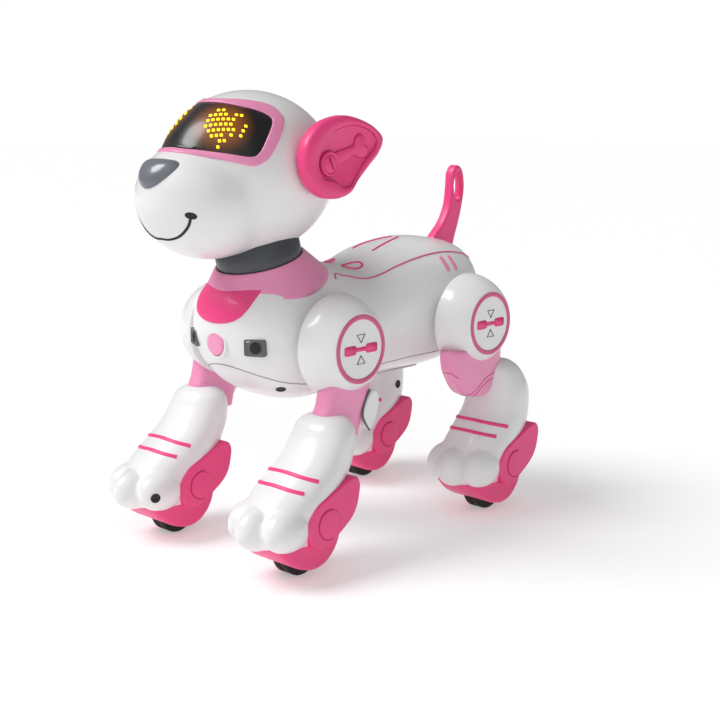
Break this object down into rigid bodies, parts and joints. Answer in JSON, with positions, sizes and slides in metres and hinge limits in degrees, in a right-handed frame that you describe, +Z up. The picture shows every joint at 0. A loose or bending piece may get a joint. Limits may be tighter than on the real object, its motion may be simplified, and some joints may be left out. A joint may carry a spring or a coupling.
{
  "type": "robot dog toy",
  "caption": "Walking toy robot dog with a turning head, a lit visor, floppy ears, a loop tail, swinging legs and a small wheel under each paw.",
  "frame": {"origin": "bottom centre of the bounding box, on the ground between the four wheels", "axes": "+Z up, the dog looks along -Y, +X is its left side"},
  "size_m": [0.1568, 0.2664, 0.266],
  "materials": {
    "white_shell": "glossy injection-moulded ABS",
    "light_pink": "glossy light pink ABS",
    "hot_pink": "satin hot pink ABS",
    "neck_grey": "satin dark grey ABS",
    "nose_grey": "glossy grey plastic",
    "black_screen": "smoked acrylic window",
    "led_board": "circuit board with yellow lamps",
    "sensor_grey": "satin grey plastic",
    "wheel_black": "rubber tyre",
    "steel": "zinc plated steel",
    "black_plastic": "motor case",
    "battery_wrap": "wrapped cell"
  },
  "bodies": {
    "torso": {"back_cover": "white_shell", "battery_door": "white_shell", "battery_pack": "battery_wrap", "belly_shell": "white_shell", "body_screws": "steel", "button_bezel": "white_shell", "chest_plate": "hot_pink", "ir_sensors": "sensor_grey", "leg_servos": "black_plastic", "main_board": "led_board", "neck_collar": "light_pink", "neck_servo": "black_plastic", "speaker": "black_plastic", "tail": "hot_pink", "torso_shell": "white_shell"},
    "head": {"head_front_shell": "white_shell", "head_rear_cover": "white_shell", "visor_frame": "light_pink", "visor_screen": "black_screen", "eye_display": "led_board", "nose": "nose_grey", "neck_ring": "neck_grey", "head_screws": "steel"},
    "ear_left": {"ear_left": "hot_pink"},
    "ear_right": {"ear_right": "hot_pink"},
    "chest_button": {"chest_button": "light_pink"},
    "power_switch": {"power_switch": "black_plastic"},
    "front_left_leg": {"front_left_hub_cover": "white_shell", "front_left_hub_ring": "light_pink", "front_left_thigh": "light_pink", "front_left_calf_outer": "white_shell", "front_left_calf_inner": "white_shell", "front_left_sole": "hot_pink", "front_left_axle": "steel"},
    "front_left_wheel": {"front_left_wheel": "wheel_black"},
    "front_right_leg": {"front_right_hub_cover": "white_shell", "front_right_hub_ring": "light_pink", "front_right_thigh": "light_pink", "front_right_calf_outer": "white_shell", "front_right_calf_inner": "white_shell", "front_right_sole": "hot_pink", "front_right_axle": "steel"},
    "front_right_wheel": {"front_right_wheel": "wheel_black"},
    "rear_left_leg": {"rear_left_hub_cover": "white_shell", "rear_left_hub_ring": "light_pink", "rear_left_thigh": "light_pink", "rear_left_calf_outer": "white_shell", "rear_left_calf_inner": "white_shell", "rear_left_sole": "hot_pink", "rear_left_axle": "steel"},
    "rear_left_wheel": {"rear_left_wheel": "wheel_black"},
    "rear_right_leg": {"rear_right_hub_cover": "white_shell", "rear_right_hub_ring": "light_pink", "rear_right_thigh": "light_pink", "rear_right_calf_outer": "white_shell", "rear_right_calf_inner": "white_shell", "rear_right_sole": "hot_pink", "rear_right_axle": "steel"},
    "rear_right_wheel": {"rear_right_wheel": "wheel_black"}
  },
  "joints": [
    {"name": "neck_yaw", "type": "hinge", "parent": "torso", "child": "head", "pos_m": [0, -0.0466, 0.1612], "axis": [0, -0.2622, 0.965], "range_deg": [-60, 60]},
    {"name": "ear_left_turn", "type": "hinge", "parent": "head", "child": "ear_left", "pos_m": [0.045, -0.041, 0.226], "axis": [1, 0, 0], "range_deg": [-20, 20]},
    {"name": "ear_right_turn", "type": "hinge", "parent": "head", "child": "ear_right", "pos_m": [-0.045, -0.041, 0.226], "axis": [1, 0, 0], "range_deg": [-20, 20]},
    {"name": "chest_button_press", "type": "slide", "parent": "torso", "child": "chest_button", "axis": [0, 1, 0], "range_m": [0, 0.0015], "stiffness_N_per_m": 400},
    {"name": "power_slide", "type": "slide", "parent": "torso", "child": "power_switch", "axis": [0, 1, 0], "range_m": [-0.0018, 0.0018]},
    {"name": "front_left_swing", "type": "hinge", "parent": "torso", "child": "front_left_leg", "pos_m": [0.046, -0.0342, 0.1237], "axis": [-1, 0, 0], "range_deg": [-25, 85]},
    {"name": "front_left_roll", "type": "hinge", "parent": "front_left_leg", "child": "front_left_wheel", "pos_m": [0.0544, -0.0747, 0.013], "axis": [-1, 0, 0], "continuous": true},
    {"name": "front_right_swing", "type": "hinge", "parent": "torso", "child": "front_right_leg", "pos_m": [-0.046, -0.0342, 0.1237], "axis": [-1, 0, 0], "range_deg": [-25, 85]},
    {"name": "front_right_roll", "type": "hinge", "parent": "front_right_leg", "child": "front_right_wheel", "pos_m": [-0.0544, -0.0747, 0.013], "axis": [-1, 0, 0], "continuous": true},
    {"name": "rear_left_swing", "type": "hinge", "parent": "torso", "child": "rear_left_leg", "pos_m": [0.046, 0.0834, 0.1237], "axis": [-1, 0, 0], "range_deg": [-90, 20]},
    {"name": "rear_left_roll", "type": "hinge", "parent": "rear_left_leg", "child": "rear_left_wheel", "pos_m": [0.0544, 0.094, 0.013], "axis": [-1, 0, 0], "continuous": true},
    {"name": "rear_right_swing", "type": "hinge", "parent": "torso", "child": "rear_right_leg", "pos_m": [-0.046, 0.0834, 0.1237], "axis": [-1, 0, 0], "range_deg": [-90, 20]},
    {"name": "rear_right_roll", "type": "hinge", "parent": "rear_right_leg", "child": "rear_right_wheel", "pos_m": [-0.0544, 0.094, 0.013], "axis": [-1, 0, 0], "continuous": true}
  ]
}
